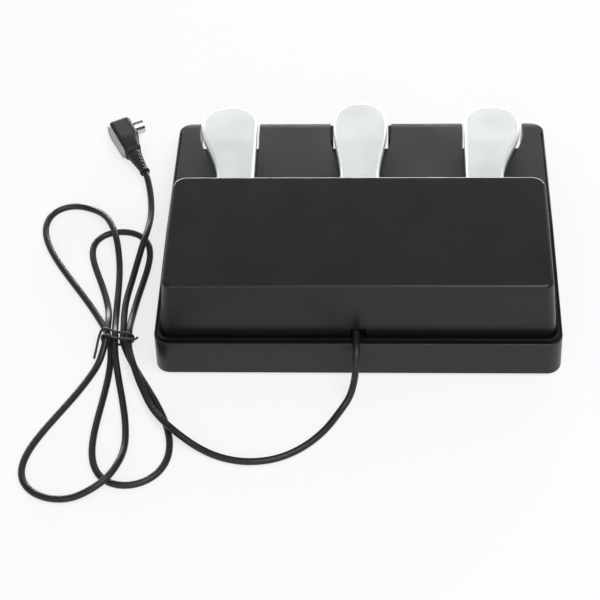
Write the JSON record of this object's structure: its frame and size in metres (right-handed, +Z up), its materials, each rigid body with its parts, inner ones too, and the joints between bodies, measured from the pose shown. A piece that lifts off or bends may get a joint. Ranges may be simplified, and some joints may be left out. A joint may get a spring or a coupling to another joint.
{
  "type": "triple pedal unit",
  "caption": "Triple piano pedal unit: chrome levers through the front of a black two-part housing, with its cord tied in a loose figure of loops and ending in an angled round plug.",
  "frame": {"origin": "on the floor under the middle of the unit without its cord", "axes": "+X to the player's right, +Y away from the player towards the cord side, +Z up"},
  "size_m": [0.4414, 0.4246, 0.0898],
  "materials": {
    "case_plastic": "fine-textured satin black moulding",
    "pedal_chrome": "polished chrome plate",
    "plate_steel": "black powder-coated steel sheet",
    "foot_rubber": "matt black rubber",
    "screw_steel": "black zinc-plated steel",
    "shaft_steel": "ground steel",
    "spring_steel": "drawn spring steel",
    "bracket_steel": "zinc-plated folded steel",
    "felt": "pressed wool felt",
    "bush_nylon": "natural nylon",
    "gate_plastic": "black glass-filled plastic",
    "board_laminate": "green solder resist",
    "socket_plastic": "white connector plastic",
    "cord_sheath": "matt black soft PVC sheath",
    "tie_sheath": "black plastic-coated wire",
    "plug_rubber": "matt black moulded plug",
    "plug_cap_plastic": "light grey inset",
    "plug_chrome": "nickel-plated drawn shell",
    "pin_metal": "plated contact pins"
  },
  "bodies": {
    "root": {"base_case": "case_plastic", "hood": "case_plastic", "bottom_plate": "plate_steel", "rubber_feet": "foot_rubber", "plate_screws": "screw_steel", "hood_screws": "screw_steel", "bracket_screws": "screw_steel", "rail_screws": "screw_steel", "board_screws": "screw_steel", "clamp_screws": "screw_steel", "pivot_shafts": "shaft_steel", "shaft_clips": "spring_steel", "stop_rail": "bracket_steel", "rest_felts": "felt", "down_buffers": "foot_rubber", "spring_cups": "bush_nylon", "light_gates": "gate_plastic", "sensor_board": "board_laminate", "lead_socket": "socket_plastic", "cord_clamp": "gate_plastic", "inner_lead": "cord_sheath", "cord_lead": "cord_sheath", "cord_hank": "cord_sheath", "cord_plug_lead": "cord_sheath", "twist_tie": "tie_sheath", "plug_relief": "plug_rubber", "plug_body": "plug_rubber", "plug_cap": "plug_cap_plastic", "plug_shell": "plug_chrome", "plug_insert": "gate_plastic", "plug_pins": "pin_metal", "soft_spring": "spring_steel", "soft_bracket": "bracket_steel", "sostenuto_spring": "spring_steel", "sostenuto_bracket": "bracket_steel", "damper_spring": "spring_steel", "damper_bracket": "bracket_steel"},
    "soft_lever": {"soft_pedal": "pedal_chrome", "soft_bushes": "bush_nylon", "soft_shutter": "gate_plastic"},
    "sostenuto_lever": {"sostenuto_pedal": "pedal_chrome", "sostenuto_bushes": "bush_nylon", "sostenuto_shutter": "gate_plastic"},
    "damper_lever": {"damper_pedal": "pedal_chrome", "damper_bushes": "bush_nylon", "damper_shutter": "gate_plastic"}
  },
  "joints": [
    {"name": "soft_press", "type": "hinge", "parent": "root", "child": "soft_lever", "pos_m": [-0.1074, 0.0798, 0.03825], "axis": [1, 0, 0], "range_deg": [0, 4], "stiffness_Nm_per_rad": 20, "springref_deg": -4.58, "deforming": ["soft_spring"]},
    {"name": "sostenuto_press", "type": "hinge", "parent": "root", "child": "sostenuto_lever", "pos_m": [0, 0.0798, 0.03825], "axis": [1, 0, 0], "range_deg": [0, 4], "stiffness_Nm_per_rad": 20, "springref_deg": -4.58, "deforming": ["sostenuto_spring"]},
    {"name": "damper_press", "type": "hinge", "parent": "root", "child": "damper_lever", "pos_m": [0.1074, 0.0798, 0.03825], "axis": [1, 0, 0], "range_deg": [0, 4], "stiffness_Nm_per_rad": 20, "springref_deg": -4.58, "deforming": ["damper_spring"]}
  ]
}
